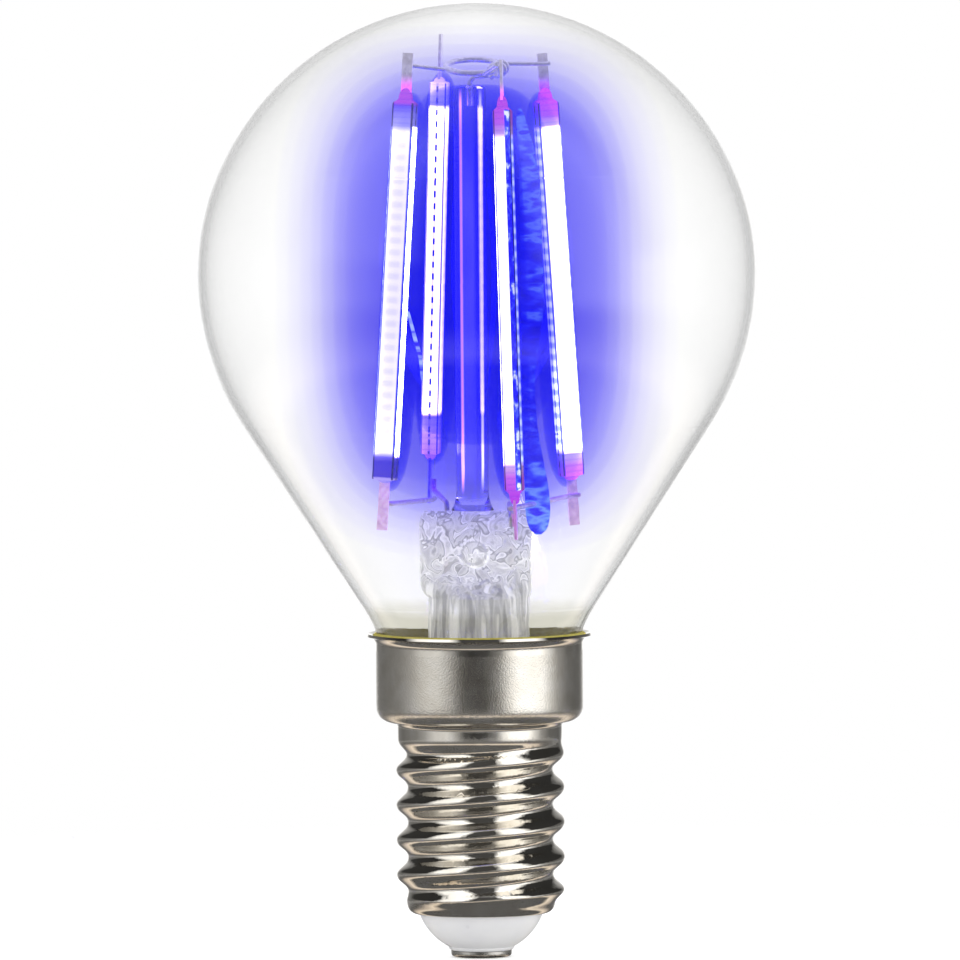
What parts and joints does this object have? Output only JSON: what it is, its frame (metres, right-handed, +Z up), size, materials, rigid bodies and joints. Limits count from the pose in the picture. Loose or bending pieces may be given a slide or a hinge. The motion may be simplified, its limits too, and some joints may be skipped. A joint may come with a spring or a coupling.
{
  "type": "led filament bulb",
  "caption": "Small round clear bulb with lit blue LED filaments round a glass stem, on a nickel small screw cap.",
  "frame": {"origin": "middle of the centre contact's outer face, on the lamp's axis", "axes": "+Z runs up the lamp's axis from the contact to the crown of the glass, +X is to the right and -Y is the front as pictured"},
  "size_m": [0.045, 0.045, 0.077],
  "materials": {
    "envelope_glass": "clear blown glass, thin and glossy",
    "stem_glass": "clear flame-worked glass, lumpy at the press",
    "filament_coat": "clear silicone gel, lit blue from inside",
    "filament_strip": "clear ceramic glass strip",
    "led_chips": "small lit diodes",
    "filament_tab": "thin plated metal strip",
    "nickel_wire": "drawn nickel wire, slightly dull",
    "copper_wire": "copper-clad seal wire",
    "tinned_wire": "tinned hook-up wire",
    "nickel_cap": "nickel-plated drawn sheet, satin on the skirt and bright on the thread",
    "white_insulator": "moulded white plastic, half gloss",
    "contact_metal": "nickel-plated pressed contact",
    "cement": "baked olive-yellow basing cement",
    "circuit_board": "white solder-masked board",
    "black_package": "moulded black epoxy",
    "capacitor_sleeve": "shrunk plastic sleeve",
    "resistor_lacquer": "baked lacquer"
  },
  "bodies": {
    "root": {"anchor_wire": "nickel_wire", "back_left_arm": "nickel_wire", "back_left_chips": "led_chips", "back_left_coat": "filament_coat", "back_left_low_tab": "filament_tab", "back_left_strip": "filament_strip", "back_left_top_tab": "filament_tab", "back_right_arm": "nickel_wire", "back_right_chips": "led_chips", "back_right_coat": "filament_coat", "back_right_low_tab": "filament_tab", "back_right_strip": "filament_strip", "back_right_top_tab": "filament_tab", "basing_cement": "cement", "bridge_rectifier": "black_package", "cap_lead": "tinned_wire", "centre_contact": "contact_metal", "contact_lead": "tinned_wire", "current_regulator": "black_package", "driver_board": "circuit_board", "exhaust_tube": "stem_glass", "front_left_arm": "nickel_wire", "front_left_chips": "led_chips", "front_left_coat": "filament_coat", "front_left_low_tab": "filament_tab", "front_left_strip": "filament_strip", "front_left_top_tab": "filament_tab", "front_right_arm": "nickel_wire", "front_right_chips": "led_chips", "front_right_coat": "filament_coat", "front_right_low_tab": "filament_tab", "front_right_strip": "filament_strip", "front_right_top_tab": "filament_tab", "fuse_resistor": "resistor_lacquer", "glass_envelope": "envelope_glass", "insulator": "white_insulator", "left_jumper": "nickel_wire", "left_lead": "nickel_wire", "left_outer_lead": "tinned_wire", "left_seal": "copper_wire", "resistor_lead": "tinned_wire", "right_jumper": "nickel_wire", "right_lead": "nickel_wire", "right_outer_lead": "tinned_wire", "right_seal": "copper_wire", "screw_shell": "nickel_cap", "smoothing_capacitor": "capacitor_sleeve", "stem": "stem_glass", "support_rod": "stem_glass", "top_ring": "nickel_wire"}
  },
  "joints": []
}
